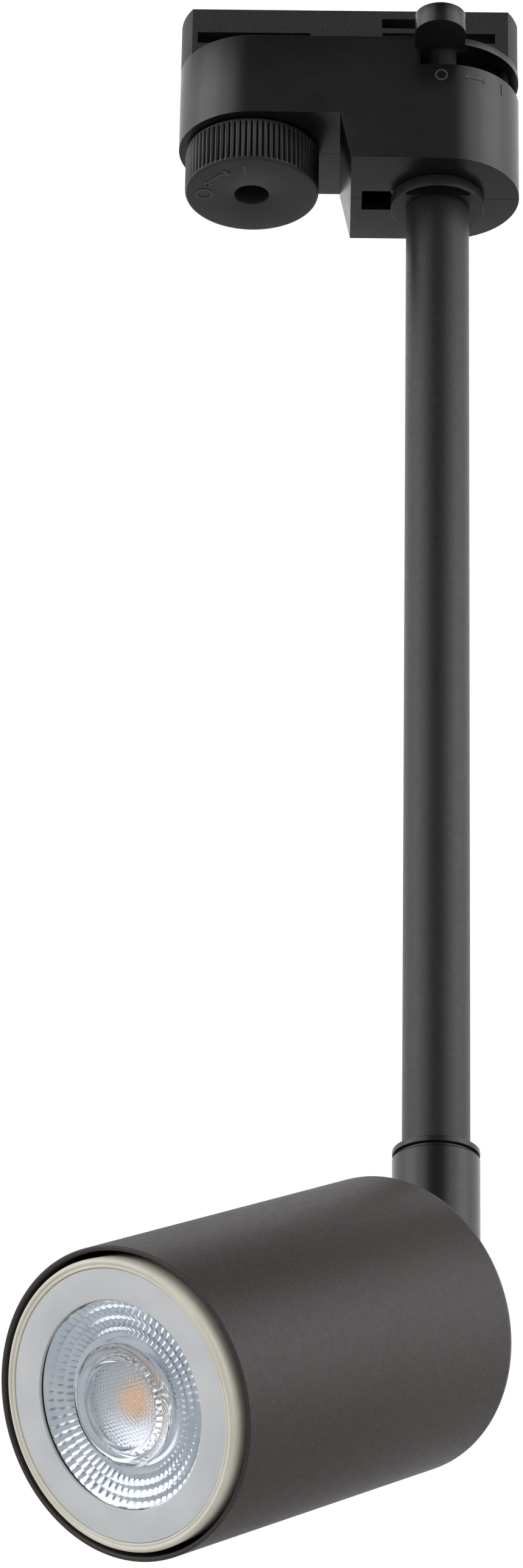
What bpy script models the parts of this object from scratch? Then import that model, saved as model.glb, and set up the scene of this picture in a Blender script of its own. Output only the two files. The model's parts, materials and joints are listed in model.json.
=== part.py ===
"""Track spotlight: a single-circuit track adapter, a drop rod and a tilting round head with a GU10 lamp.

Lengths are written in millimetres and turned into metres where a mesh is made.  The origin is the middle
of the insert bar's top face on the rod's axis, +X runs along the track, -Y is the lever's side and +Z is up.
Moving groups hang from empties that sit on their joint's axis.
"""
import math

import bmesh
import bpy
from mathutils import Matrix, Vector

MM = 0.001
GAP = 0.3

# Adapter casing: a stadium in plan, with an insert bar on top and a deeper end around the rod.
BODY_HALF_WIDTH = 15.1
BODY_LEFT = -52.35
BODY_RIGHT = 16.45
BAR_HALF_WIDTH = 8.1
BAR_RIGHT = 16.15
BAR_TOP = 0.0
RIM_Z = -10.95
SHALLOW_Z = -29.25
DEEP_Z = -39.8
DEEP_WALL_TOP_X = -19.75
DEEP_WALL_BOTTOM_X = -17.5
WALL = 2.0
BAR_WALL = 1.6

# Lock: knob, spindle and the plate that swings out under the track's lips.
LOCK_X = -37.45
KNOB_RADIUS = 13.49
KNOB_RIBS = 72
KNOB_RIB_DEPTH = 0.45
KNOB_FACE_Z = -39.4
KNOB_TOP_Z = SHALLOW_Z - GAP
KNOB_BORE_RADIUS = 3.45
SPINDLE_RADIUS = 4.0
LOCK_SLOT = (-8.2, -5.6)
SWING_RADIUS = 11.2
SLOT_REACH = 11.45

# Contact lever and rotor on the rod's axis.
LEVER_SLOT = (-17.5, -12.5)
LEVER_SLOT_SIDE = 3.75
LEVER_BOTTOM_Z = -15.4
LEVER_NECK_TOP_Z = -12.8
LEVER_HUB_TOP_Z = -13.3
LEVER_HUB_RADIUS = 9.0
LEVER_TAB_TOP_Z = -11.2
LEVER_TAB_WIDTH = 10.1
LEVER_NECK_WIDTH = 6.9
LEVER_TIP_Y = -27.6
LEVER_TAB_SIDE_Y = -18.6
LEVER_TAB_BACK_Y = -16.8
ROTOR_RADIUS = 5.6
LOWER_WINDOW = (-7.7, -5.35)
UPPER_WINDOW = (-4.2, -2.0)
ROTOR_FLOOR = (-22.0, -20.3)

# Casing screws, entered from the rear: place along X and Z.
SCREW_PLACES = ((-45.5, -20.0), (-24.0, -20.0), (12.0, -26.0))
SCREW_BOSS_RADIUS = 3.6
SCREW_HEAD_RADIUS = 2.2
SCREW_SHANK_RADIUS = 1.1

# Rod, its upper boss and its lower collar.
ROD_RADIUS = 6.32
ROD_BORE_RADIUS = 5.2
ROD_TOP_Z = -42.55
BOSS_RADIUS = 9.4
BOSS_FACE_Z = -42.5
BOSS_NECK_RADIUS = 8.0
NOTCH_HALF = 6.4
NOTCH_RADIUS = 9.0
NOTCH_BACK_Y = -5.6
NOTCH_DEPTH = 2.2
NIPPLE_RADIUS = 4.9
COLLAR_RADIUS = 8.13
COLLAR_TOP_Z = -247.24
COLLAR_BOTTOM_Z = -248.35
SLEEVE_TOP_Z = -249.02
STEM_RADIUS = 4.0

# Knuckle and head.
PIVOT_Z = -278.3
PAN = math.radians(41.99)
TILT = math.radians(26.65)
FORK_SLOT_HALF = 4.1
FORK_SLOT_TOP_Z = -266.0
TONGUE_HALF = 3.0
TONGUE_RADIUS = 6.0
HEAD_REAR = 13.06
HEAD_LENGTH = 77.27
HEAD_FRONT = HEAD_REAR + HEAD_LENGTH
HEAD_RADIUS = 26.97
HEAD_BORE_RADIUS = 26.1
HEAD_REAR_FILLET = 2.5
HEAD_REAR_WALL = 2.0

# GU10 lamp and its holder, measured forward along the head from the pivot.
LAMP_RADIUS = 25.0
LAMP_FACE = HEAD_FRONT - 0.14
LAMP_BASE_END = LAMP_FACE - 47.0
LAMP_PIN_OFFSET = 5.0
LAMP_PIN_RADIUS = 2.5
LAMP_PIN_LENGTH = 7.0
LAMP_TWIST = math.radians(30.0)
HOLDER_RADIUS = 13.3
HOLDER_REAR = HEAD_REAR + 14.0
HOLDER_FRONT = LAMP_BASE_END - GAP

WIRE_RADIUS = 0.9
WIRE_CIRCLE = 1.25

# Finish of each material: colour, roughness, metallic.
BLACK_PLASTIC = ((0.012, 0.012, 0.013, 1.0), 0.42, 0.0)
GREY_PLASTIC = ((0.030, 0.030, 0.032, 1.0), 0.55, 0.0)
BLACK_COAT = ((0.016, 0.015, 0.015, 1.0), 0.60, 0.3)
HEAD_COAT = ((0.045, 0.040, 0.037, 1.0), 0.65, 0.3)
STEEL = ((0.55, 0.55, 0.56, 1.0), 0.30, 1.0)
COPPER = ((0.72, 0.40, 0.22, 1.0), 0.30, 1.0)
BRASS = ((0.72, 0.56, 0.28, 1.0), 0.30, 1.0)
CERAMIC = ((0.80, 0.78, 0.72, 1.0), 0.45, 0.0)
WHITE_PLASTIC = ((0.80, 0.80, 0.78, 1.0), 0.40, 0.0)
CLEAR_PLASTIC = ((0.85, 0.88, 0.90, 1.0), 0.10, 0.0)
MIRROR_COAT = ((0.80, 0.82, 0.84, 1.0), 0.15, 0.9)
PHOSPHOR = ((0.90, 0.60, 0.15, 1.0), 0.50, 0.0)
BOARD_WHITE = ((0.75, 0.76, 0.76, 1.0), 0.50, 0.0)
BOARD_GREEN = ((0.05, 0.22, 0.10, 1.0), 0.50, 0.0)
NYLON = ((0.70, 0.70, 0.66, 1.0), 0.50, 0.0)
BROWN_WIRE = ((0.16, 0.06, 0.03, 1.0), 0.55, 0.0)
BLUE_WIRE = ((0.03, 0.08, 0.35, 1.0), 0.55, 0.0)
GREEN_WIRE = ((0.10, 0.35, 0.06, 1.0), 0.55, 0.0)


# ---------------------------------------------------------------- outlines

def arc(centre, radius, start, end, steps):
    """Points along an arc in a plane, angles in radians, both ends included."""
    sweep = end - start
    angles = [start + sweep * i / steps for i in range(steps + 1)]
    return [(centre[0] + radius * math.cos(a), centre[1] + radius * math.sin(a)) for a in angles]


def stadium(left, right, half_width, steps=12):
    """A slot-shaped outline with a semicircle at each end."""
    quarter = math.pi / 2
    ends = arc((right - half_width, 0), half_width, -quarter, quarter, steps)
    return ends + arc((left + half_width, 0), half_width, quarter, 3 * quarter, steps)


def body_half_width(x):
    """Half width of the casing at a place along X."""
    past_left = BODY_LEFT + BODY_HALF_WIDTH - x
    past_right = x - (BODY_RIGHT - BODY_HALF_WIDTH)
    past = max(past_left, past_right, 0.0)
    return math.sqrt(BODY_HALF_WIDTH ** 2 - past ** 2)


def hexagon(across_flats):
    radius = across_flats / math.sqrt(3)
    return [(radius * math.cos(math.radians(60 * i)), radius * math.sin(math.radians(60 * i))) for i in range(6)]


# ---------------------------------------------------------------- solids, in millimetres

def loft(rings, closed=False):
    """Skin a list of equal rings; the ends are capped, or joined to each other when closed."""
    bm = bmesh.new()
    rows = [[bm.verts.new(Vector(point) * MM) for point in ring] for ring in rings]
    count = len(rows[0])
    pairs = list(zip(rows, rows[1:]))
    if closed:
        pairs.append((rows[-1], rows[0]))
    for low, high in pairs:
        for i in range(count):
            j = (i + 1) % count
            bm.faces.new((low[i], low[j], high[j], high[i]))
    if not closed:
        bm.faces.new(rows[0])
        bm.faces.new(rows[-1])
    bmesh.ops.recalc_face_normals(bm, faces=bm.faces)
    return bm


def prism(outline, low, high, axis="Z"):
    """Extrude an outline from low to high along an axis; (a, b) are the other two axes in X, Y, Z order."""
    place = {
        "X": lambda a, b, c: (c, a, b),
        "Y": lambda a, b, c: (a, c, b),
        "Z": lambda a, b, c: (a, b, c),
    }[axis]
    return loft([[place(a, b, level) for a, b in outline] for level in (low, high)])


def block(x, y, z):
    """A box given by its (low, high) pair along each axis."""
    return prism([(x[0], y[0]), (x[1], y[0]), (x[1], y[1]), (x[0], y[1])], z[0], z[1])


def rod(radius, low, high, centre=(0.0, 0.0), axis="Z", steps=16):
    """A round bar along an axis."""
    return prism(arc(centre, radius, 0, 2 * math.pi, steps)[:-1], low, high, axis)


def turned(profile, steps=32):
    """Turn a closed (radius, z) outline that stays clear of the Z axis."""
    angles = [2 * math.pi * i / steps for i in range(steps)]
    rings = [[(r * math.cos(a), r * math.sin(a), z) for r, z in profile] for a in angles]
    return loft(rings, closed=True)


def tube(outer, inner, low, high, steps=16):
    return turned([(outer, low), (outer, high), (inner, high), (inner, low)], steps)


# ---------------------------------------------------------------- objects

def empty(name, location=(0.0, 0.0, 0.0), rotation=None, parent=None):
    """An axis for a moving group, placed in its parent's frame."""
    holder = bpy.data.objects.new(name, None)
    bpy.context.collection.objects.link(holder)
    place = Matrix.Translation(Vector(location) * MM)
    holder.matrix_local = place @ (rotation.to_4x4() if rotation else Matrix())
    if parent:
        holder.parent = parent
    return holder


def solid(name, bm, parent=None):
    mesh = bpy.data.meshes.new(name)
    bm.to_mesh(mesh)
    bm.free()
    piece = bpy.data.objects.new(name, mesh)
    bpy.context.collection.objects.link(piece)
    piece.parent = parent
    return piece


def combine(piece, others, operation="DIFFERENCE"):
    """Cut, join or intersect a piece with each of the given solids, then drop them."""
    for bm in others:
        tool = solid("tool", bm)
        tool.hide_render = True
        tool.display_type = "WIRE"
        modifier = piece.modifiers.new(operation.lower(), "BOOLEAN")
        modifier.operation = operation
        modifier.object = tool
        parent = piece.parent
        piece.parent = None
        depsgraph = bpy.context.evaluated_depsgraph_get()
        mesh = bpy.data.meshes.new_from_object(piece.evaluated_get(depsgraph))
        piece.parent = parent
        piece.modifiers.clear()
        piece.data = mesh
        mesh.name = piece.name
        bpy.data.objects.remove(tool)
    return piece


def finish(piece, look):
    """Give a piece its own material and smooth shading with crisp edges."""
    colour, roughness, metallic = look
    material = bpy.data.materials.new(piece.name)
    material.use_nodes = True
    shader = material.node_tree.nodes["Principled BSDF"]
    shader.inputs["Base Color"].default_value = colour
    shader.inputs["Roughness"].default_value = roughness
    shader.inputs["Metallic"].default_value = metallic
    material.diffuse_color = colour
    piece.data.materials.clear()
    piece.data.materials.append(material)
    if piece.type == "MESH":
        piece.data.shade_smooth()
        piece.data.set_sharp_from_angle(angle=math.radians(30))
    return piece


def make(name, bm, look, parent=None, cuts=(), joins=()):
    """One finished piece: a solid with others joined to it and then cuts taken from it."""
    piece = solid(name, bm, parent)
    combine(piece, joins, "UNION")
    combine(piece, cuts, "DIFFERENCE")
    return finish(piece, look)


def wire(name, route, look, parent=None):
    """An insulated wire: a round bar along a smooth curve through the route's points."""
    points = [Vector(point) for point in route]
    padded = [2 * points[0] - points[1]] + points + [2 * points[-1] - points[-2]]
    smooth = []
    for a, b, c, d in zip(padded, padded[1:], padded[2:], padded[3:]):
        steps = 3 if (c - b).length < 10.0 else 1
        for i in range(steps):
            t = i / steps
            bend = (2 * a - 5 * b + 4 * c - d) * t * t + (3 * b - a - 3 * c + d) * t ** 3
            smooth.append(b + ((c - a) * t + bend) / 2)
    smooth.append(points[-1])
    curve = bpy.data.curves.new(name, "CURVE")
    curve.dimensions = "3D"
    curve.bevel_depth = WIRE_RADIUS * MM
    curve.bevel_resolution = 2
    curve.use_fill_caps = True
    spline = curve.splines.new("POLY")
    spline.points.add(len(smooth) - 1)
    for target, point in zip(spline.points, smooth):
        target.co = (*(point * MM), 1.0)
    piece = bpy.data.objects.new(name, curve)
    bpy.context.collection.objects.link(piece)
    piece.parent = parent
    return finish(piece, look)


# ---------------------------------------------------------------- adapter casing

def casing_form(inset, bar_inset):
    """The casing's outer form, or its inside when inset by the wall."""
    plan = stadium(BODY_LEFT + inset, BODY_RIGHT - inset, BODY_HALF_WIDTH - inset)
    form = solid("casing_form", prism(plan, DEEP_Z + inset, BAR_TOP - inset))
    far = 100.0
    shoulder = RIM_Z - inset
    side = BAR_HALF_WIDTH - bar_inset
    floor = SHALLOW_Z + inset
    wedge = [
        (-far, floor),
        (DEEP_WALL_TOP_X + inset, floor),
        (DEEP_WALL_BOTTOM_X + inset, DEEP_Z),
        (DEEP_WALL_BOTTOM_X + inset, -far),
        (-far, -far),
    ]
    cuts = [
        block((-far, far), (side, far), (shoulder, far)),
        block((-far, far), (-far, -side), (shoulder, far)),
        block((BAR_RIGHT - bar_inset, far), (-far, far), (shoulder, far)),
        prism(wedge, -far, far, "Y"),
    ]
    return combine(form, cuts)


def mesh_of(piece):
    """The piece's mesh in a bmesh; the piece itself is removed."""
    bm = bmesh.new()
    bm.from_mesh(piece.data)
    bpy.data.objects.remove(piece)
    return bm


def casing_hollow():
    """The space inside the casing, less the screw bosses and the floor under the contact rotor."""
    hollow = casing_form(WALL, BAR_WALL)
    far = 100.0
    bosses = [rod(SCREW_BOSS_RADIUS, -far, far, place, "Y") for place in SCREW_PLACES]
    floor = [block((-7.5, far), (-far, far), ROTOR_FLOOR)]
    return mesh_of(combine(hollow, bosses + floor))


def counterbore_floor(x):
    """How far back a casing screw's head seats, so that it stays below the curved wall."""
    outward = x + math.copysign(SCREW_HEAD_RADIUS + GAP, x - (BODY_LEFT + BODY_RIGHT) / 2)
    return body_half_width(outward) - 2.0


def casing_openings():
    """Every slot, window and hole that both halves of the casing share."""
    far = 100.0
    through = (-far, far)
    lock = (LOCK_X - SLOT_REACH, LOCK_X + SLOT_REACH)
    cuts = [
        block(lock, through, LOCK_SLOT),
        block((-SLOT_REACH, SLOT_REACH), through, LOWER_WINDOW),
        block((-11.5, 4.2), (-far, 0.0), (UPPER_WINDOW[0], UPPER_WINDOW[1] + 0.05)),
        block((-LEVER_SLOT_SIDE, far), (-far, LEVER_SLOT_SIDE), LEVER_SLOT),
        rod(SPINDLE_RADIUS + GAP, SHALLOW_Z - 1, SHALLOW_Z + WALL + 1, (LOCK_X, 0)),
        rod(STEM_RADIUS + GAP, ROTOR_FLOOR[0] - 1, ROTOR_FLOOR[1] + 1),
        rod(BOSS_NECK_RADIUS + GAP, DEEP_Z - 1, DEEP_Z + WALL + 1),
        block((-15.25, -8.2), (-2.6, 4.25), (DEEP_Z - 1, DEEP_Z + WALL + 1)),
        block((-20.9, -15.1), (-2.8, 2.8), (-WALL - 1, 1)),
    ]
    for x, z in SCREW_PLACES:
        seat = counterbore_floor(x)
        cuts.append(rod(SCREW_HEAD_RADIUS + GAP, seat, far, (x, z), "Y", 16))
        cuts.append(rod(SCREW_SHANK_RADIUS + GAP, -6.5, seat + 1, (x, z), "Y", 16))
    return cuts


def adapter_shells():
    for name, side in (("adapter_front_shell", -1), ("adapter_rear_shell", 1)):
        near = side * GAP / 2
        far = side * 100.0
        shell = combine(casing_form(0.0, 0.0), [casing_hollow()] + casing_openings())
        half = block((-100.0, 100.0), (min(near, far), max(near, far)), (-100.0, 100.0))
        combine(shell, [half], "INTERSECT")
        shell.name = name
        finish(shell, BLACK_PLASTIC)


def shell_screws():
    for number, (x, z) in enumerate(SCREW_PLACES, start=1):
        seat = counterbore_floor(x) + GAP
        head = rod(SCREW_HEAD_RADIUS, seat, seat + 1.4, (x, z), "Y", 16)
        shank = rod(SCREW_SHANK_RADIUS, -6.0, seat + 0.5, (x, z), "Y", 16)
        cross = [
            block((x - 1.4, x + 1.4), (seat + 0.8, seat + 3), (z - 0.3, z + 0.3)),
            block((x - 0.3, x + 0.3), (seat + 0.8, seat + 3), (z - 1.4, z + 1.4)),
        ]
        make(f"shell_screw_{number}", head, STEEL, joins=[shank], cuts=cross)


def earth_contact():
    """A sprung leaf whose crown stands in a window of the bar's top face."""
    strip = [(-22.0, -3.6), (-14.0, -3.6), (-14.0, -2.6), (-15.6, -2.6)]
    crown = [(-16.9, -0.35), (-19.1, -0.35), (-20.4, -2.6), (-22.0, -2.6)]
    make("earth_contact", prism(strip + crown, -2.5, 2.5, "Y"), COPPER)


# ---------------------------------------------------------------- lock

def ribbed_bar(radius, ribs, depth, low, high, band):
    """A round bar with fine upright ribs between two plain edges."""
    count = 2 * ribs

    def ring(z, rib_depth, inset=0.0):
        radii = [radius - inset - (rib_depth if i % 2 else 0.0) for i in range(count)]
        turns = [2 * math.pi * i / count for i in range(count)]
        return [(r * math.cos(a), r * math.sin(a), z) for r, a in zip(radii, turns)]

    edge = depth / 2
    return loft([ring(low, 0.0, edge), ring(low + band, depth), ring(high - band, depth), ring(high, 0.0, edge)])


def lock_parts(axis):
    knob = ribbed_bar(KNOB_RADIUS, KNOB_RIBS, KNOB_RIB_DEPTH, KNOB_FACE_Z, KNOB_TOP_Z, 0.7)
    seat = KNOB_FACE_Z + 6.4
    socket = KNOB_TOP_Z - 1.6
    bores = [
        rod(KNOB_BORE_RADIUS, KNOB_FACE_Z - 1, seat),
        rod(1.6, KNOB_FACE_Z, KNOB_TOP_Z + 1, steps=16),
        rod(SPINDLE_RADIUS + GAP, socket, KNOB_TOP_Z + 1),
    ]
    make("lock_knob", knob, GREY_PLASTIC, axis, cuts=bores)

    head = rod(2.9, seat - GAP - 2.0, seat - GAP, steps=16)
    shank = rod(1.3, seat - GAP - 0.5, -23.0, steps=16)
    slot = [block((-2.0, 2.0), (-0.35, 0.35), (seat - 4, seat - GAP - 1.2))]
    make("lock_knob_screw", head, BLACK_COAT, axis, joins=[shank], cuts=slot)

    shoulder = LOCK_SLOT[0] + 0.1
    spindle = [
        (1.6, socket + GAP), (SPINDLE_RADIUS, socket + GAP),
        (SPINDLE_RADIUS, -26.9), (6.0, -26.9), (6.0, -25.4), (SPINDLE_RADIUS, -25.4),
        (SPINDLE_RADIUS, shoulder - GAP), (2.6, shoulder - GAP), (2.6, LOCK_SLOT[1] + 0.9),
        (1.6, LOCK_SLOT[1] + 0.9),
    ]
    make("lock_spindle", turned(spindle, 24), GREY_PLASTIC, axis)

    reach = math.acos(5.8 / SWING_RADIUS)
    quarter = math.pi / 2
    plate = arc((0, 0), SWING_RADIUS, reach - quarter, quarter - reach, 10)
    plate += arc((0, 0), SWING_RADIUS, quarter + reach, 3 * quarter - reach, 10)
    body = prism(plate, shoulder, LOCK_SLOT[1] - GAP)
    make("lock_plate", body, BLACK_COAT, axis, cuts=[rod(2.6 + GAP, -20, 0, steps=16)])


# ---------------------------------------------------------------- contacts

def contact_parts(axis):
    half = LEVER_TAB_WIDTH / 2
    neck_half = LEVER_NECK_WIDTH / 2
    tab = arc((0, LEVER_TIP_Y + half), half, math.pi, 2 * math.pi, 14)
    corner = arc((0, 0), 1.0, 0, math.pi / 2, 5)
    reach = (half - neck_half, LEVER_TAB_BACK_Y - LEVER_TAB_SIDE_Y)
    right = [(neck_half + reach[0] * x, LEVER_TAB_SIDE_Y + reach[1] * y) for x, y in corner]
    tab += right + [(-x, y) for x, y in reversed(right)]
    neck = block((-neck_half, neck_half), (LEVER_TAB_SIDE_Y - 2, -7.0), (LEVER_BOTTOM_Z, LEVER_NECK_TOP_Z))
    hub = rod(LEVER_HUB_RADIUS, LEVER_BOTTOM_Z, LEVER_HUB_TOP_Z)
    bore = rod(ROTOR_RADIUS + GAP, -30, 0)
    finger = prism(tab, LEVER_BOTTOM_Z - 0.02, LEVER_TAB_TOP_Z)
    make("contact_lever", finger, BLACK_PLASTIC, axis, joins=[neck, hub], cuts=[bore])

    rotor_top = UPPER_WINDOW[0] + 0.2
    rotor = rod(ROTOR_RADIUS, ROTOR_FLOOR[1] + GAP, rotor_top)
    spigot = rod(STEM_RADIUS, ROTOR_FLOOR[0] - 0.4, ROTOR_FLOOR[1] + 1)
    lower = (LOWER_WINDOW[0] + 0.3, LOWER_WINDOW[1] - 0.25)
    slot = block((-3.2, 20), (-2.8, 2.8), lower)
    bore = rod(2.9, -30, LOWER_WINDOW[0] - 1.2, steps=16)
    make("contact_rotor", rotor, WHITE_PLASTIC, axis, joins=[spigot], cuts=[slot, bore])

    blade = (lower[0] + GAP, lower[1] - GAP)
    tip = arc((SWING_RADIUS - 2.5, 0), 2.5, -math.pi / 2, math.pi / 2, 10)
    make("neutral_contact", prism(tip + [(-2.9, 2.5), (-2.9, -2.5)], *blade), COPPER, axis)
    mirrored = [(-x, -y) for x, y in tip + [(-2.9, 2.5), (-2.9, -2.5)]]
    upper = (rotor_top + GAP, rotor_top + GAP + 1.1)
    make("live_contact", prism(mirrored, *upper), COPPER, axis)


# ---------------------------------------------------------------- rod

def rod_parts():
    boss = [
        (NIPPLE_RADIUS + GAP, BOSS_FACE_Z), (BOSS_RADIUS - 0.2, BOSS_FACE_Z), (BOSS_RADIUS, BOSS_FACE_Z + 0.2),
        (BOSS_RADIUS, DEEP_Z - GAP), (BOSS_NECK_RADIUS, DEEP_Z - GAP), (BOSS_NECK_RADIUS, DEEP_Z + WALL - GAP),
        (NIPPLE_RADIUS + GAP, DEEP_Z + WALL - GAP),
    ]
    spread = math.asin(NOTCH_HALF / NOTCH_RADIUS)
    outline = arc((0, 0), NOTCH_RADIUS, -math.pi / 2 - spread, -math.pi / 2 + spread, 10)
    outline += [(NOTCH_HALF, NOTCH_BACK_Y), (-NOTCH_HALF, NOTCH_BACK_Y)]
    notch = prism(outline, BOSS_FACE_Z - 1, BOSS_FACE_Z + NOTCH_DEPTH)
    make("rod_boss", turned(boss), BLACK_COAT, cuts=[notch])

    floor = DEEP_Z + WALL
    make("rod_washer", tube(9.6, NIPPLE_RADIUS + GAP, floor + GAP, floor + 1.5), STEEL)
    nut = prism(hexagon(14.0), floor + 1.8, floor + 5.8)
    make("rod_nut", nut, BRASS, cuts=[rod(NIPPLE_RADIUS + GAP, -60, 0)])
    make("rod_nipple", tube(NIPPLE_RADIUS, 3.6, -58.0, floor + 7.3), STEEL)
    make("rod_tube", tube(ROD_RADIUS, ROD_BORE_RADIUS, COLLAR_TOP_Z + GAP, ROD_TOP_Z), BLACK_COAT)

    bore = 2.6
    plug = [
        (bore, -262.0), (STEM_RADIUS, -262.0), (STEM_RADIUS, SLEEVE_TOP_Z + GAP),
        (COLLAR_RADIUS - 0.7, SLEEVE_TOP_Z + GAP), (COLLAR_RADIUS - 0.7, COLLAR_BOTTOM_Z),
        (COLLAR_RADIUS, COLLAR_BOTTOM_Z), (COLLAR_RADIUS, COLLAR_TOP_Z), (NIPPLE_RADIUS, COLLAR_TOP_Z),
        (NIPPLE_RADIUS, -232.0), (bore, -232.0),
    ]
    make("collar_ring", turned(plug), BLACK_COAT)


def supply_wires():
    """Live and neutral run from the rotor's bore to the swivel; earth leaves the rod for its own contact."""
    names = (("live_wire", BROWN_WIRE), ("neutral_wire", BLUE_WIRE))
    for number, (name, look) in enumerate(names):
        angle = math.radians(120 * number - 60)
        x = WIRE_CIRCLE * math.cos(angle)
        y = WIRE_CIRCLE * math.sin(angle)
        wire(name, [(x, y, -9.5), (x, y, -263.5)], look)
    x = -WIRE_CIRCLE
    route = [
        (x, 0, -263.5), (x, 0, -45), (x, 0, -33), (-3.5, 0, -27.5), (-8.5, 0, -25),
        (-13.0, 0, -21.5), (-14.6, 0, -15), (-15.0, 0, -9.5), (-15.0, 0, -4.9),
    ]
    wire("earth_wire", route, GREEN_WIRE)


# ---------------------------------------------------------------- swivel and knuckle

def swivel_parts(axis):
    """Fork sleeve, whose local X is the tilt axis; it turns under the collar ring."""
    fork_round = COLLAR_RADIUS + 0.27
    side = arc((0, PIVOT_Z), fork_round, math.pi, 2 * math.pi, 16)
    side += [(fork_round, SLEEVE_TOP_Z + 5), (-fork_round, SLEEVE_TOP_Z + 5)]
    sleeve = solid("swivel_sleeve", rod(COLLAR_RADIUS, PIVOT_Z - 12, SLEEVE_TOP_Z, steps=32), axis)
    combine(sleeve, [prism(side, -20, 20, "X")], "INTERSECT")
    pivot = (0.0, PIVOT_Z)
    cuts = [
        rod(STEM_RADIUS + GAP, -300, -240),
        rod(6.2, -300, -256.5),
        block((-FORK_SLOT_HALF, FORK_SLOT_HALF), (-20, 20), (-300, FORK_SLOT_TOP_Z)),
        rod(2.3, -20, 20, pivot, "X", 16),
        rod(3.8, 5.3, 20, pivot, "X", 16),
        rod(3.8, -20, -5.3, pivot, "X", 16),
    ]
    finish(combine(sleeve, cuts), BLACK_COAT)

    nut = prism(hexagon(10.0), -259.8, -256.8)
    make("swivel_nut", nut, BRASS, axis, cuts=[rod(STEM_RADIUS + GAP, -270, -250)])

    head = rod(3.4, 5.6, 7.5, pivot, "X", 16)
    shank = rod(2.0, -7.0, 6.2, pivot, "X", 16)
    socket = prism([(y, z + PIVOT_Z) for y, z in hexagon(3.0)], 6.4, 9, "X")
    make("tilt_screw", head, STEEL, axis, joins=[shank], cuts=[socket])
    nut = prism([(y, z + PIVOT_Z) for y, z in hexagon(5.8)], -7.4, -5.6, "X")
    make("tilt_nut", nut, STEEL, axis, cuts=[rod(2.3, -9, -3, pivot, "X", 16)])
    for name, low in (("friction_washer_left", -3.8), ("friction_washer_right", 3.3)):
        washer = rod(5.5, low, low + 0.5, pivot, "X")
        make(name, washer, NYLON, axis, cuts=[rod(2.3, low - 1, low + 1.5, pivot, "X", 16)])


# ---------------------------------------------------------------- head, along local +Z from the pivot

def head_parts(axis):
    """Tongue, housing, bracket and lamp holder."""
    edge = [(TONGUE_RADIUS, HEAD_REAR - 2.0), (-TONGUE_RADIUS, HEAD_REAR - 2.0)]
    outline = edge + arc((0, 0), TONGUE_RADIUS, math.pi, 2 * math.pi, 14)
    foot = rod(7.5, HEAD_REAR - 2.8, HEAD_REAR - GAP)
    stem_end = HEAD_REAR + HEAD_REAR_WALL + 5.6
    stem = rod(STEM_RADIUS, HEAD_REAR - 1.0, stem_end)
    cuts = [
        rod(2.3, -20, 20, (0, 0), "X", 16),
        rod(2.2, 7.4, 40, steps=16),
        rod(1.9, 0, 20, (0, 9.0), "Y", 16),
    ]
    tongue = prism(outline, -TONGUE_HALF, TONGUE_HALF, "X")
    make("head_tongue", tongue, BLACK_COAT, axis, joins=[foot, stem], cuts=cuts)

    wall = HEAD_REAR + HEAD_REAR_WALL
    fillet = arc((HEAD_RADIUS - HEAD_REAR_FILLET, HEAD_REAR + HEAD_REAR_FILLET), HEAD_REAR_FILLET,
                 -math.pi / 2, 0, 6)
    housing = [(STEM_RADIUS + GAP, HEAD_REAR)] + fillet
    housing += [(HEAD_RADIUS, HEAD_FRONT - 0.25), (HEAD_RADIUS - 0.25, HEAD_FRONT), (HEAD_BORE_RADIUS, HEAD_FRONT)]
    housing += [(HEAD_BORE_RADIUS, wall + 1.0), (HEAD_BORE_RADIUS - 1.0, wall), (STEM_RADIUS + GAP, wall)]
    make("head_housing", turned(housing, 48), HEAD_COAT, axis)

    base = wall + GAP
    arm = HOLDER_RADIUS + GAP
    strap = [
        (-arm - 1.5, base), (arm + 1.5, base), (arm + 1.5, base + 22), (arm, base + 22),
        (arm, base + 1.5), (-arm, base + 1.5), (-arm, base + 22), (-arm - 1.5, base + 22),
    ]
    screw_place = (0.0, base + 17.0)
    bores = [rod(STEM_RADIUS + GAP, base - 1, base + 3), rod(1.8, -20, 20, screw_place, "X", 16)]
    make("holder_bracket", prism(strap, -6.0, 6.0, "Y"), STEEL, axis, cuts=bores)
    nut = prism(hexagon(11.0), base + 1.8, base + 4.6)
    make("head_nut", nut, BRASS, axis, cuts=[rod(STEM_RADIUS + GAP, 0, 40)])

    cuts = [rod(1.8, -20, -8.8, screw_place, "X", 16), rod(1.8, 8.8, 20, screw_place, "X", 16)]
    cuts += [prism(pin_slot(turn), HOLDER_REAR + 4.0, HOLDER_FRONT + 1) for turn in (0.0, math.pi)]
    cuts += [rod(WIRE_RADIUS + GAP, HOLDER_REAR - 1, HOLDER_REAR + 5, (x, 0), steps=16) for x in (-5.0, 5.0)]
    make("lamp_holder", rod(HOLDER_RADIUS, HOLDER_REAR, HOLDER_FRONT), CERAMIC, axis, cuts=cuts)

    for name, side in (("holder_screw_left", -1), ("holder_screw_right", 1)):
        near = side * (arm + 1.8)
        far = side * (arm + 3.3)
        inner = side * 9.2
        head = rod(2.8, min(near, far), max(near, far), screw_place, "X", 16)
        join = near + side * 0.5
        shank = rod(1.5, min(inner, join), max(inner, join), screw_place, "X", 16)
        make(name, head, STEEL, axis, joins=[shank])

    for name, side, look in (("lamp_lead_live", -1, BROWN_WIRE), ("lamp_lead_neutral", 1, BLUE_WIRE)):
        start = side * (WIRE_RADIUS + GAP / 2)
        entry = side * LAMP_PIN_OFFSET
        route = [(start, 0, wall - 1), (start, 0, wall + 5.5), (side * 3.7, 0, wall + 8.5),
                 (entry, 0, HOLDER_REAR - 0.8), (entry, 0, HOLDER_REAR + 3)]
        wire(name, route, look, axis)


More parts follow.
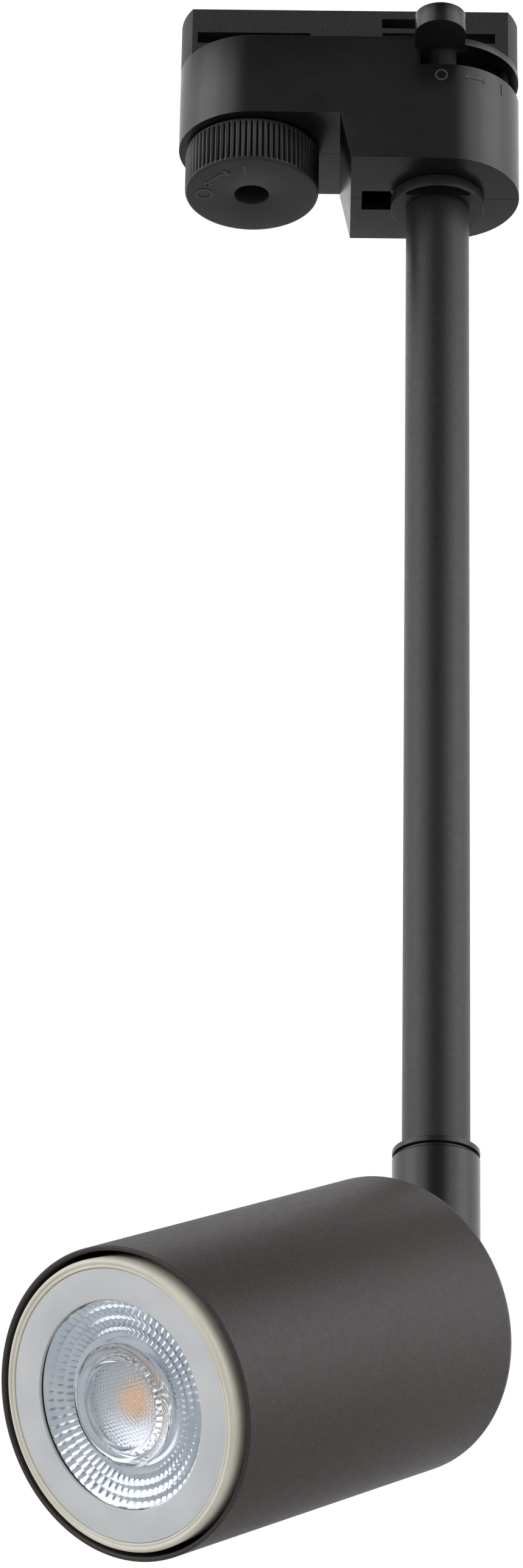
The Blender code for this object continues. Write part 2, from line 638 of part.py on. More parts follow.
def pin_slot(turn):
    """Curved slot that a lamp pin enters and turns in; it opens towards the release direction."""
    clear = LAMP_PIN_RADIUS + GAP
    reach = math.asin(clear / LAMP_PIN_OFFSET) + 0.03
    low = turn - reach
    high = turn + LAMP_TWIST + reach
    outer = arc((0, 0), LAMP_PIN_OFFSET + clear, low, high, 16)
    return outer + arc((0, 0), LAMP_PIN_OFFSET - clear, high, low, 8)


# ---------------------------------------------------------------- lamp

def lamp_parts(axis):
    for number, side in enumerate((1, -1), start=1):
        place = (side * LAMP_PIN_OFFSET, 0)
        base = LAMP_BASE_END
        pin = rod(1.65, base - LAMP_PIN_LENGTH + 2.0, base + 6, place, steps=16)
        foot = rod(LAMP_PIN_RADIUS, base - LAMP_PIN_LENGTH, base - LAMP_PIN_LENGTH + 2.6, place, steps=16)
        make(f"lamp_pin_{number}", pin, STEEL, axis, joins=[foot])

    base_top = LAMP_BASE_END + 9.0
    form = rod(8.9, LAMP_BASE_END, base_top)
    bores = [rod(1.65 + GAP, 0, 90, (x, 0), steps=16) for x in (-LAMP_PIN_OFFSET, LAMP_PIN_OFFSET)]
    make("lamp_base", form, WHITE_PLASTIC, axis, cuts=bores)

    rim = LAMP_RADIUS - 0.15
    lens_seat = LAMP_FACE - 3.2
    shell = [
        (9.2, LAMP_BASE_END + 1.0), (11.0, LAMP_BASE_END + 1.0), (11.6, LAMP_BASE_END + 1.6),
        (15.2, LAMP_BASE_END + 14.0), (rim - 0.6, LAMP_FACE - 9.0), (rim, LAMP_FACE - 8.4), (rim, LAMP_FACE - 0.4),
        (rim - 0.4, LAMP_FACE), (22.6, LAMP_FACE), (22.6, lens_seat), (21.4, lens_seat),
        (21.4, LAMP_FACE - 9.5), (13.6, LAMP_BASE_END + 14.2), (9.6, LAMP_BASE_END + 4.0), (9.2, LAMP_BASE_END + 3.4),
    ]
    make("lamp_shell", turned(shell), WHITE_PLASTIC, axis)

    lens_back = lens_seat + GAP
    lens = rod(22.3, lens_back, LAMP_FACE - 0.2, steps=32)
    make("lamp_lens", lens, CLEAR_PLASTIC, axis)
    board = LAMP_FACE - 10.2
    reflector = [
        (5.4, board + 1.9), (7.2, board + 1.9), (17.6, lens_back - GAP), (16.6, lens_back - GAP), (6.4, board + 3.4),
        (5.4, board + 3.0),
    ]
    make("lamp_reflector", turned(reflector), MIRROR_COAT, axis)
    make("led_board", rod(14.2, board, board + 1.6), BOARD_WHITE, axis)
    make("led_emitter", rod(4.4, board + 1.9, board + 2.7), PHOSPHOR, axis)
    driver = block((-7.5, 7.5), (-0.6, 0.6), (base_top + GAP, board - 0.8))
    make("lamp_driver_board", driver, BOARD_GREEN, axis)


# ---------------------------------------------------------------- assembly

def clear_scene():
    for piece in list(bpy.data.objects):
        bpy.data.objects.remove(piece, do_unlink=True)


def build():
    clear_scene()
    lock_axis = empty("lock_axis", (LOCK_X, 0, 0))
    contact_axis = empty("contact_axis")
    forward = Vector((-math.sin(PAN) * math.cos(TILT), -math.cos(PAN) * math.cos(TILT), -math.sin(TILT)))
    upright = Vector((0, 0, 1))
    across = upright.cross(forward).normalized()
    swivel_turn = Matrix((across, upright.cross(across), upright)).transposed()
    head_turn = Matrix((across, forward.cross(across), forward)).transposed()
    swivel_axis = empty("swivel_axis", rotation=swivel_turn)
    tilt_axis = empty("tilt_axis", (0, 0, PIVOT_Z), head_turn)
    lamp_axis = empty("lamp_axis", (0, 0, PIVOT_Z), head_turn)

    adapter_shells()
    shell_screws()
    earth_contact()
    lock_parts(lock_axis)
    contact_parts(contact_axis)
    rod_parts()
    supply_wires()
    swivel_parts(swivel_axis)
    head_parts(tilt_axis)
    lamp_parts(lamp_axis)


build()
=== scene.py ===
"""Looks of the track spotlight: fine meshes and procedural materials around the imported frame.

Lengths in the shape functions are millimetres.  Pieces are made in a local frame (the row frame, or the
own axes of the knob, swivel, head or lamp) and then carried into the row frame, in metres.
"""
import json
import math

import bmesh
import bpy
from mathutils import Matrix, Vector


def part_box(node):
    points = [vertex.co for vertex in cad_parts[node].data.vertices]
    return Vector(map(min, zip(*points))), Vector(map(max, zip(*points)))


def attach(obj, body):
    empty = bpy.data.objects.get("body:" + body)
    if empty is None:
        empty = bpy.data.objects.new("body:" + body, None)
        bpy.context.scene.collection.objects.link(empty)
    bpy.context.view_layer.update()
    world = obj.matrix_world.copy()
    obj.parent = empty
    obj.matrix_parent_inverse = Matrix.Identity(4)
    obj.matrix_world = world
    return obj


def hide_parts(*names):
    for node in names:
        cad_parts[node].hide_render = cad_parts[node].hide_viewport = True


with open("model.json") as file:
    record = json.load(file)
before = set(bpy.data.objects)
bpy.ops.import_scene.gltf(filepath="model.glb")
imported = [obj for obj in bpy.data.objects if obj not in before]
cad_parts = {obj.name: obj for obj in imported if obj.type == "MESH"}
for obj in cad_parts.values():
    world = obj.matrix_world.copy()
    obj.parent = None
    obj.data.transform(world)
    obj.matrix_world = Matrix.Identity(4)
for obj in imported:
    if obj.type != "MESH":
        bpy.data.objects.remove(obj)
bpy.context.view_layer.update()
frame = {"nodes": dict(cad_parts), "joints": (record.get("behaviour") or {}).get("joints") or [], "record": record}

MM = 0.001
FAR = 120.0
QUARTER = math.pi / 2
TURN = 2 * math.pi
HAIRLINE = 0.05

# ---------------------------------------------------------------- places read from the frame

JOINTS = {joint["name"]: joint for joint in frame["joints"]}


def spread(node, origin, direction):
    """How far a CAD node reaches along a direction from a point, in millimetres: (low, high)."""
    reach = [(vertex.co - origin).dot(direction) / MM for vertex in frame["nodes"][node].data.vertices]
    return min(reach), max(reach)


UP = Vector((0, 0, 1))
ORIGIN = Vector((0, 0, 0))
PIVOT = Vector(JOINTS["head_tilt"]["pos_m"])
ACROSS = Vector(JOINTS["head_tilt"]["axis"]).normalized()
FORWARD = Vector(JOINTS["lamp_twist"]["axis"]).normalized()
ROW = Matrix.Identity(4)
HEAD = Matrix.Translation(PIVOT) @ Matrix((ACROSS, FORWARD.cross(ACROSS), FORWARD)).transposed().to_4x4()
SWIVEL = Matrix((ACROSS, UP.cross(ACROSS), UP)).transposed().to_4x4()
LOCK = Matrix.Translation(Vector((JOINTS["lock_turn"]["pos_m"][0], 0, 0)))

CASE_LOW, CASE_HIGH = (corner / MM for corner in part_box("adapter_front_shell"))
CASE_LEFT, CASE_RIGHT = CASE_LOW.x, CASE_HIGH.x
CASE_HALF = -CASE_LOW.y
DEEP_Z = CASE_LOW.z
KNOB_LOW, KNOB_TOP = spread("lock_knob", ORIGIN, UP)
KNOB_RADIUS = (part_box("lock_knob")[1].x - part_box("lock_knob")[0].x) / 2 / MM
LOCK_X = JOINTS["lock_turn"]["pos_m"][0] / MM
ROD_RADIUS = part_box("rod_tube")[1].x / MM
ROD_LOW, ROD_TOP = spread("rod_tube", ORIGIN, UP)
BOSS_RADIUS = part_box("rod_boss")[1].x / MM
BOSS_LOW, BOSS_TOP = spread("rod_boss", ORIGIN, UP)
COLLAR_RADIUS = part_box("collar_ring")[1].x / MM
STEM_LOW, PLUG_TOP = spread("collar_ring", ORIGIN, UP)
SLEEVE_TOP = spread("swivel_sleeve", ORIGIN, UP)[1]
PIVOT_Z = PIVOT.z / MM
HEAD_REAR, HEAD_FRONT = spread("head_housing", PIVOT, FORWARD)
HEAD_RADIUS = spread("head_housing", PIVOT, ACROSS)[1]
LAMP_BACK, LAMP_FACE = spread("lamp_shell", PIVOT, FORWARD)
LAMP_RADIUS = spread("lamp_shell", PIVOT, ACROSS)[1]
LEVER_LOW, LEVER_TOP = spread("contact_lever", ORIGIN, UP)
LEVER_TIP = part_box("contact_lever")[0].y / MM

# Features of the casing that no box gives.
BAR_HALF = 8.1
BAR_RIGHT = 16.15
RIM_Z = -10.95
SHALLOW_Z = -29.25
DEEP_WALL_TOP_X = -19.75
DEEP_WALL_LOW_X = -17.5
CASE_WALL = 2.0
BAR_WALL = 1.6
LOCK_SLOT = (-8.2, -5.6)
LOWER_WINDOW = (-7.7, -5.35)
UPPER_WINDOW = (-4.2, -1.95)
UPPER_WINDOW_SPAN = (-11.5, 4.2)
WINDOW_REACH = 11.45
LEVER_SLOT = (-17.5, -12.5)
LEVER_SLOT_SIDE = 3.75
RECESS = ((-15.25, -8.2), (-2.6, 4.25))
EARTH_WINDOW = ((-20.9, -15.1), (-2.8, 2.8))
SPINDLE_BORE = 4.3
SCREW_PLACES = ((-45.5, -20.0), (-24.0, -20.0), (12.0, -26.0))
SCREW_HEAD_RADIUS = 2.2
POST_RADIUS = 3.6

# The knob, the boss and the rod.
RIB_COUNT = 72
RIB_DEPTH = 0.8
KNOB_BORE = 3.45
KNOB_BORE_DEPTH = 6.4
ROD_BORE = 5.2
BOSS_NECK = 8.0
NOTCH_HALF = 6.4
NOTCH_RADIUS = 9.05
NOTCH_BACK = -5.6
NOTCH_DEPTH = 2.2

# The sleeve's fork and the head's knuckle and can.
SLEEVE_BORE = 4.15
THROAT_RADIUS = 6.2
THROAT_TOP = -256.5
FORK_GAP = 4.1
FORK_TOP = -266.0
HINGE_BORE = 2.3
HINGE_RECESS = 3.8
ARM_FACE = 5.3
TONGUE_RADIUS = 6.0
CAN_WALL = 0.87
CAN_REAR_WALL = 2.0
CAN_FILLET = 2.5

# The lamp sits a little askew in the can.  Its pieces are drawn from the middle of its face, -Z going in.
LAMP_SHIFT = (-0.3, -0.05, 1.4)
LAMP_LEAN = math.radians(-2.2)
LAMP_PLACE = (Vector((0, 0, LAMP_FACE)) + Vector(LAMP_SHIFT)) * MM
LAMP = HEAD @ Matrix.Translation(LAMP_PLACE) @ Matrix.Rotation(LAMP_LEAN, 4, "Y")
LAMP_TAIL = LAMP_BACK - LAMP_FACE
LAMP_RIM = LAMP_RADIUS + 0.3
OPTIC_EDGE = LAMP_RADIUS - 1.4
FACETS_OUTER = 17.85
FACETS_INNER = 12.2
FUNNEL_HOLE = 3.2
LENS_RADIUS = 7.3
BUMP_PITCH = 0.75

# Light and camera; places are in metres.
TENT_STRENGTH = 1.9
FLOOR_HEIGHT = -0.75
CAMERA_PLACE = (-0.02190, -0.91281, -0.62657)
CAMERA_PITCH = math.radians(26.471)
CAMERA_YAW = math.radians(-0.719)
CAMERA_ROLL = math.radians(1.016)
CAMERA_LENS = 122.86


# ---------------------------------------------------------------- outlines

def arc(centre, radius, start, end, steps):
    """Points along an arc, both ends included; angles are in radians."""
    sweep = end - start
    angles = [start + sweep * i / steps for i in range(steps + 1)]
    return [(centre[0] + radius * math.cos(a), centre[1] + radius * math.sin(a)) for a in angles]


def circle(radius, centre=(0.0, 0.0), steps=48):
    return arc(centre, radius, 0, TURN, steps)[:-1]


def stadium(left, right, half_width, steps=40):
    """A slot shape with two round ends, lying along the first axis."""
    ends = arc((right - half_width, 0), half_width, -QUARTER, QUARTER, steps)
    return ends + arc((left + half_width, 0), half_width, QUARTER, 3 * QUARTER, steps)


def polygon(sides, across_flats):
    radius = across_flats / 2 / math.cos(math.pi / sides)
    return circle(radius, steps=sides)


def soften(outline, radius, steps=3, closed=True):
    """Round every real corner of an outline with a small fillet."""
    count = len(outline)
    result = []
    for i, here in enumerate(outline):
        if not closed and i in (0, count - 1):
            result.append(here)
            continue
        point = Vector(here)
        back = Vector(outline[i - 1]) - point
        ahead = Vector(outline[(i + 1) % count]) - point
        bend = math.pi - back.angle(ahead)
        if bend < math.radians(12):
            result.append(here)
            continue
        reach = min(radius * math.tan(bend / 2), 0.42 * back.length, 0.42 * ahead.length)
        start = point + back.normalized() * reach
        end = point + ahead.normalized() * reach
        for k in range(steps + 1):
            t = k / steps
            result.append(tuple(start * (1 - t) ** 2 + point * 2 * t * (1 - t) + end * t ** 2))
    return result


# ---------------------------------------------------------------- solids, in millimetres

def skin(rings, closed=False):
    """Join equal rings of points; the end rings are capped unless the skin closes on itself."""
    bm = bmesh.new()
    rows = [[bm.verts.new(Vector(point) * MM) for point in ring] for ring in rings]
    count = len(rows[0])
    pairs = list(zip(rows, rows[1:]))
    if closed:
        pairs.append((rows[-1], rows[0]))
    for low, high in pairs:
        for i in range(count):
            j = (i + 1) % count
            bm.faces.new((low[i], low[j], high[j], high[i]))
    if not closed:
        bm.faces.new(rows[0])
        bm.faces.new(rows[-1])
    bmesh.ops.recalc_face_normals(bm, faces=bm.faces)
    return bm


def prism(outline, low, high, axis="Z"):
    """Extrude an outline along an axis; the outline holds the other two axes in X, Y, Z order."""
    point = {
        "X": lambda a, b, level: (level, a, b),
        "Y": lambda a, b, level: (a, level, b),
        "Z": lambda a, b, level: (a, b, level),
    }[axis]
    return skin([[point(a, b, level) for a, b in outline] for level in (low, high)])


def block(x, y, z):
    """A box, from the low and high limits on each axis."""
    return prism([(x[0], y[0]), (x[1], y[0]), (x[1], y[1]), (x[0], y[1])], z[0], z[1])


def bar(radius, low, high, centre=(0.0, 0.0), axis="Z", steps=48):
    return prism(circle(radius, centre, steps), low, high, axis)


def turned(profile, steps=128):
    """Turn a closed (radius, z) outline; a point on the axis becomes a single vertex."""
    bm = bmesh.new()
    rows = []
    for r, z in profile:
        if r < 1e-6:
            rows.append([bm.verts.new((0, 0, z * MM))])
        else:
            rows.append([bm.verts.new(Vector((x, y, z)) * MM) for x, y in circle(r, steps=steps)])
    for low, high in zip(rows, rows[1:] + rows[:1]):
        for i in range(steps):
            j = (i + 1) % steps
            corners = [low[i % len(low)], low[j % len(low)], high[j % len(high)], high[i % len(high)]]
            unique = list(dict.fromkeys(corners))
            if len(unique) > 2:
                bm.faces.new(unique)
    bmesh.ops.recalc_face_normals(bm, faces=bm.faces)
    return bm


# ---------------------------------------------------------------- pieces

def new_object(name, bm):
    mesh = bpy.data.meshes.new(name)
    bm.to_mesh(mesh)
    bm.free()
    piece = bpy.data.objects.new(name, mesh)
    bpy.context.collection.objects.link(piece)
    return piece


def bake_modifiers(piece):
    depsgraph = bpy.context.evaluated_depsgraph_get()
    mesh = bpy.data.meshes.new_from_object(piece.evaluated_get(depsgraph))
    piece.modifiers.clear()
    piece.data = mesh


def combine(piece, solids, operation="DIFFERENCE"):
    """Cut, join or intersect a piece with solids, which are used up."""
    for bm in solids:
        tool = new_object("tool", bm)
        modifier = piece.modifiers.new("combine", "BOOLEAN")
        modifier.operation = operation
        modifier.object = tool
        bake_modifiers(piece)
        bpy.data.objects.remove(tool)
    return piece


def round_edges(piece, width, segments=3, angle=30.0):
    modifier = piece.modifiers.new("edges", "BEVEL")
    modifier.width = width * MM
    modifier.segments = segments
    modifier.limit_method = "ANGLE"
    modifier.angle_limit = math.radians(angle)
    modifier.miter_outer = "MITER_ARC"
    bake_modifiers(piece)
    return piece


def place(piece, body, material, replaced=(), axes=ROW, sharp=28.0):
    """Carry a finished mesh into the row frame, shade it, and make it ride on its body."""
    piece.data.transform(axes)
    piece.data.materials.clear()
    piece.data.materials.append(material)
    piece.data.shade_smooth()
    piece.data.set_sharp_from_angle(angle=math.radians(sharp))
    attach(piece, body)
    if replaced:
        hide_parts(*replaced)
    return piece


# ---------------------------------------------------------------- materials

class Tree:
    """A small helper for writing node trees."""

    def __init__(self, tree):
        self.tree = tree

    def add(self, kind, inputs=None, **settings):
        node = self.tree.nodes.new(kind)
        for key, value in settings.items():
            setattr(node, key, value)
        for key, value in (inputs or {}).items():
            self.set(node, key, value)
        return node

    def set(self, node, key, value):
        if isinstance(value, bpy.types.NodeSocket):
            self.tree.links.new(value, node.inputs[key])
        else:
            node.inputs[key].default_value = value

    def ramp(self, value, low, high, to_low=0.0, to_high=1.0, shape="LINEAR"):
        inputs = {"Value": value, "From Min": low, "From Max": high, "To Min": to_low, "To Max": to_high}
        return self.add("ShaderNodeMapRange", inputs, interpolation_type=shape).outputs["Result"]

    def maths(self, operation, a, b):
        return self.add("ShaderNodeMath", {0: a, 1: b}, operation=operation).outputs[0]


class Surface(Tree):
    """A material with patterns that lie in the row frame."""

    def __init__(self, name):
        self.material = bpy.data.materials.new(name)
        self.material.use_nodes = True
        super().__init__(self.material.node_tree)
        self.shader = self.tree.nodes["Principled BSDF"]
        self.position = self.add("ShaderNodeTexCoord").outputs["Object"]

    def noise(self, size, detail=2.0, roughness=0.5):
        """Noise whose features are about this many millimetres across."""
        scale = 1.0 / (size * MM)
        inputs = {"Vector": self.position, "Scale": scale, "Detail": detail, "Roughness": roughness}
        return self.add("ShaderNodeTexNoise", inputs).outputs["Fac"]

    def mix(self, share, a, b):
        node = self.add("ShaderNodeMix", data_type="RGBA")
        self.set(node, 0, share)
        self.set(node, 6, a)
        self.set(node, 7, b)
        return node.outputs[2]

    def specks(self, size, share, radius):
        """Tiny dots: in some cells of a cell pattern, a round spot at the cell's point."""
        inputs = {"Vector": self.position, "Scale": 1.0 / (size * MM)}
        cells = self.add("ShaderNodeTexVoronoi", inputs)
        near = self.maths("LESS_THAN", cells.outputs["Distance"], radius)
        split = self.add("ShaderNodeSeparateColor", {"Color": cells.outputs["Color"]})
        chosen = self.maths("LESS_THAN", split.outputs[0], share)
        return self.maths("MULTIPLY", near, chosen)

    def bump(self, height, strength, distance, under=None):
        inputs = {"Height": height, "Strength": strength, "Distance": distance * MM}
        if under is not None:
            inputs["Normal"] = under
        return self.add("ShaderNodeBump", inputs).outputs["Normal"]

    def finish(self, **inputs):
        """Connect the shader's inputs, given with underscores for spaces, and return the material."""
        for key, value in inputs.items():
            self.set(self.shader, key.replace("_", " "), value)
        return self.material


def rgb(red, green, blue):
    """A colour given in display values from 0 to 255."""
    def linear(value):
        value /= 255.0
        return value / 12.92 if value <= 0.04045 else ((value + 0.055) / 1.055) ** 2.4
    return (linear(red), linear(green), linear(blue), 1.0)


def moulded(name, colour, paler, roughness, dust, grain=0.35):
    """Moulded plastic: faint flow clouds, a fine spark-eroded grain and a little pale dust."""
    n = Surface(name)
    clouds = n.noise(16.0, 3.0)
    base = n.mix(n.ramp(clouds, 0.35, 0.65), colour, paler)
    dots = n.specks(3.0, dust, 0.05)
    base = n.mix(n.maths("MULTIPLY", dots, 0.55), base, rgb(170, 160, 155))
    fine = n.noise(grain, 2.0, 0.6)
    gloss = n.ramp(n.noise(5.0, 4.0), 0.3, 0.7, roughness - 0.05, roughness + 0.05)
    return n.finish(Base_Color=base, Roughness=gloss, Normal=n.bump(fine, 0.45, 0.01))


def casing_plastic(name):
    """Black casing plastic: satin below the shoulder, a coarser matt grain on the insert bar above it."""
    n = Surface(name)
    height = n.add("ShaderNodeSeparateXYZ", {"Vector": n.position}).outputs["Z"]
    matt = n.ramp(height, (RIM_Z - 0.1) * MM, (RIM_Z + 0.1) * MM)
    clouds = n.noise(16.0, 3.0)
    grain = n.noise(0.35, 2.0, 0.6)
    base = n.mix(n.ramp(clouds, 0.35, 0.65), rgb(15, 15, 16), rgb(20, 20, 21))
    base = n.mix(n.maths("MULTIPLY", matt, n.ramp(grain, 0.35, 0.75)), base, rgb(48, 48, 48))
    base = n.mix(n.maths("MULTIPLY", n.specks(3.0, 0.006, 0.05), 0.55), base, rgb(170, 160, 155))
    gloss = n.ramp(n.noise(5.0, 4.0), 0.3, 0.7, 0.24, 0.31)
    gloss = n.maths("ADD", gloss, n.maths("MULTIPLY", matt, 0.28))
    smooth = n.bump(grain, 0.3, 0.007)
    rough = n.bump(n.maths("MULTIPLY", grain, matt), 0.6, 0.03, smooth)
    return n.finish(Base_Color=base, Roughness=gloss, Normal=rough)


def powder_coat(name, colour, paler, dust_colour, roughness, grain, relief, dust):
    """Powder coat: a tight orange-peel grain with paler crests and scattered pale specks."""
    n = Surface(name)
    fine = n.noise(grain, 3.0, 0.62)
    peel = n.noise(grain * 5, 2.0)
    height = n.maths("ADD", fine, n.maths("MULTIPLY", peel, 0.25))
    base = n.mix(n.ramp(fine, 0.42, 0.72), colour, paler)
    cloud = n.noise(40.0, 2.0)
    base = n.mix(n.ramp(cloud, 0.3, 0.7, 0.0, 0.2), base, paler)
    base = n.mix(n.specks(2.4, dust, 0.055), base, dust_colour)
    gloss = n.ramp(peel, 0.3, 0.7, roughness - 0.03, roughness + 0.03)
    normal = n.bump(height, 0.6, relief)
    return n.finish(Base_Color=base, Roughness=gloss, Normal=normal)


def metal(name, colour, paler, roughness):
    """Plated or turned metal with fine tool marks and a little staining."""
    n = Surface(name)
    marks = n.noise(0.25, 3.0)
    stain = n.noise(3.0, 4.0)
    base = n.mix(n.ramp(stain, 0.35, 0.7), colour, paler)
    gloss = n.ramp(marks, 0.3, 0.7, roughness - 0.07, roughness + 0.1)
    return n.finish(Base_Color=base, Roughness=gloss, Metallic=1.0, Normal=n.bump(marks, 0.35, 0.004))


def mottled(name, colour, paler, roughness, size=2.0, relief=0.006, **more):
    """A plain moulded, fired or painted surface with soft mottling."""
    n = Surface(name)
    spots = n.noise(size, 4.0)
    base = n.mix(n.ramp(spots, 0.35, 0.65), colour, paler)
    gloss = n.ramp(n.noise(size * 2, 2.0), 0.3, 0.7, roughness - 0.05, roughness + 0.05)
    return n.finish(Base_Color=base, Roughness=gloss, Normal=n.bump(spots, 0.3, relief), **more)


def mirror_film(name):
    """Faintly bluish aluminised film, crisp in some patches and milky in others."""
    n = Surface(name)
    patches = n.noise(7.0, 1.0)
    gloss = n.ramp(patches, 0.4, 0.6, 0.04, 0.16)
    base = n.mix(n.ramp(patches, 0.35, 0.65), rgb(236, 239, 244), rgb(248, 250, 252))
    ripple = n.bump(n.noise(0.3), 0.1, 0.002)
    return n.finish(Base_Color=base, Roughness=gloss, Metallic=0.8, Normal=ripple)


def clear_optic(name, bending):
    """Clear moulded acrylic with the faintest ripple; bending is its index of refraction."""
    n = Surface(name)
    ripple = n.noise(2.5, 2.0)
    gloss = n.ramp(n.noise(1.0, 2.0), 0.3, 0.7, 0.0, 0.03)
    return n.finish(Base_Color=rgb(246, 249, 253), Roughness=gloss, Transmission_Weight=1.0, IOR=bending,
                    Normal=n.bump(ripple, 0.06, 0.02))


def frosted_optic(name):
    """Etched acrylic: milky, lit through from behind."""
    n = Surface(name)
    etch = n.noise(0.12, 2.0)
    haze = n.noise(9.0, 2.0)
    base = n.mix(n.ramp(haze, 0.35, 0.65), rgb(207, 210, 214), rgb(216, 218, 220))
    gloss = n.ramp(etch, 0.3, 0.7, 0.35, 0.5)
    return n.finish(Base_Color=base, Roughness=gloss, Normal=n.bump(etch, 0.3, 0.01),
                    Subsurface_Weight=0.25, Subsurface_Radius=(0.003, 0.003, 0.003))


BODY_PLASTIC = casing_plastic("body_plastic")
KNOB_PLASTIC = moulded("knob_plastic", rgb(28, 28, 29), rgb(34, 34, 35), 0.4, 0.002, grain=0.3)
LEVER_PLASTIC = moulded("lever_plastic", rgb(16, 15, 16), rgb(20, 19, 20), 0.26, 0.003)
MARK_PLASTIC = moulded("mark_plastic", rgb(64, 64, 66), rgb(76, 76, 78), 0.4, 0.0)
ROD_COAT = powder_coat("rod_coat", rgb(20, 20, 20), rgb(40, 39, 39), rgb(190, 185, 180),
                       roughness=0.42, grain=0.28, relief=0.035, dust=0.014)
SOCKET_COAT = powder_coat("socket_coat", rgb(26, 26, 27), rgb(44, 43, 43), rgb(170, 165, 160),
                          roughness=0.45, grain=0.3, relief=0.03, dust=0.01)
SLEEVE_COAT = powder_coat("sleeve_coat", rgb(16, 15, 15), rgb(24, 23, 23), rgb(150, 145, 140),
                          roughness=0.27, grain=0.3, relief=0.012, dust=0.003)
HEAD_COAT = powder_coat("head_coat", rgb(38, 34, 32), rgb(68, 62, 59), rgb(170, 158, 150),
                        roughness=0.5, grain=0.3, relief=0.05, dust=0.006)
BLACKENED = metal("blackened_steel", rgb(40, 40, 42), rgb(52, 52, 54), 0.4)
STEEL = metal("zinc_steel", rgb(176, 176, 180), rgb(200, 200, 202), 0.3)
COPPER = metal("contact_copper", rgb(134, 84, 58), rgb(160, 106, 76), 0.35)
BRASS = metal("turned_brass", rgb(190, 160, 96), rgb(214, 188, 124), 0.28)
CERAMIC = mottled("holder_ceramic", rgb(214, 209, 196), rgb(232, 228, 218), 0.5)
WHITE_PLASTIC = mottled("white_plastic", rgb(214, 214, 210), rgb(226, 226, 222), 0.4)
SHELL_PLASTIC = mottled("lamp_shell_plastic", rgb(222, 217, 204), rgb(230, 226, 214), 0.35, size=8.0,
                        Subsurface_Weight=0.3, Subsurface_Radius=(0.004, 0.004, 0.003))
MIRROR = mirror_film("mirror_film")
PHOSPHOR = mottled("phosphor_gel", rgb(255, 196, 140), rgb(255, 208, 160), 0.4, size=1.0,
                   Emission_Color=rgb(255, 200, 150), Emission_Strength=0.3)
WHITE_BOARD = mottled("white_board", rgb(92, 98, 106), rgb(112, 118, 126), 0.4)
GREEN_BOARD = mottled("green_board", rgb(28, 96, 48), rgb(40, 116, 60), 0.4)
NYLON = mottled("nylon", rgb(206, 205, 196), rgb(218, 217, 208), 0.45)
BROWN_SLEEVING = mottled("brown_sleeving", rgb(84, 48, 30), rgb(98, 60, 40), 0.5)
BLUE_SLEEVING = mottled("blue_sleeving", rgb(34, 62, 140), rgb(46, 78, 158), 0.5)
GREEN_SLEEVING = mottled("green_sleeving", rgb(70, 132, 40), rgb(190, 190, 50), 0.5, size=6.0)
CLEAR = clear_optic("clear_acrylic", 1.49)
WINDOW = clear_optic("window_acrylic", 1.15)
FROSTED = frosted_optic("frosted_acrylic")

# The material of each slot on the CAD nodes.
NODE_LOOKS = {
    "steel": STEEL, "copper": COPPER, "brass": BRASS, "ceramic": CERAMIC, "white_plastic": WHITE_PLASTIC,
    "black_plastic": BODY_PLASTIC, "knob_plastic": KNOB_PLASTIC, "black_coat": SLEEVE_COAT,
    "head_coat": HEAD_COAT, "lamp_shell": SHELL_PLASTIC, "clear_optic": CLEAR, "mirror_coat": MIRROR,
    "phosphor": PHOSPHOR, "board_white": WHITE_BOARD, "board_green": GREEN_BOARD, "nylon": NYLON,
    "wire_brown": BROWN_SLEEVING, "wire_blue": BLUE_SLEEVING, "wire_green": GREEN_SLEEVING,
}


def dress_nodes():
    """Every CAD node gets the procedural material of its slot."""
    for part in frame["record"]["subparts"]:
        node = frame["nodes"][part["node"]]
        node.data.materials.clear()
        node.data.materials.append(NODE_LOOKS[part["material_slot"]])


# ---------------------------------------------------------------- adapter casing

def casing_form(inset, bar_inset):
    """The casing's outer form, or its hollow when inset by the wall."""
    plan = stadium(CASE_LEFT + inset, CASE_RIGHT - inset, CASE_HALF - inset)
    form = new_object("form", prism(plan, DEEP_Z + inset, -inset))
    side = BAR_HALF - bar_inset
    shoulder = RIM_Z - inset
    shallow = SHALLOW_Z + inset
    top_x = DEEP_WALL_TOP_X + inset
    low_x = DEEP_WALL_LOW_X + inset
    wedge = [(-FAR, shallow), (top_x, shallow), (low_x, DEEP_Z), (low_x, -FAR), (-FAR, -FAR)]
    cuts = [
        block((-FAR, FAR), (side, FAR), (shoulder, FAR)),
        block((-FAR, FAR), (-FAR, -side), (shoulder, FAR)),
        block((BAR_RIGHT - bar_inset, FAR), (-FAR, FAR), (shoulder, FAR)),
        prism(wedge, -FAR, FAR, "Y"),
    ]
    return combine(form, cuts)


def half_width(x):
    """Half the casing's width at a place along it."""
    past = max(CASE_LEFT + CASE_HALF - x, x - CASE_RIGHT + CASE_HALF, 0.0)
    return math.sqrt(CASE_HALF ** 2 - past ** 2)


def screw_seat(x):
    """How far back a casing screw's seat lies, sunk into the curved or flat rear wall."""
    middle = (CASE_LEFT + CASE_RIGHT) / 2
    return half_width(x + math.copysign(SCREW_HEAD_RADIUS + 0.3, x - middle)) - 2.0


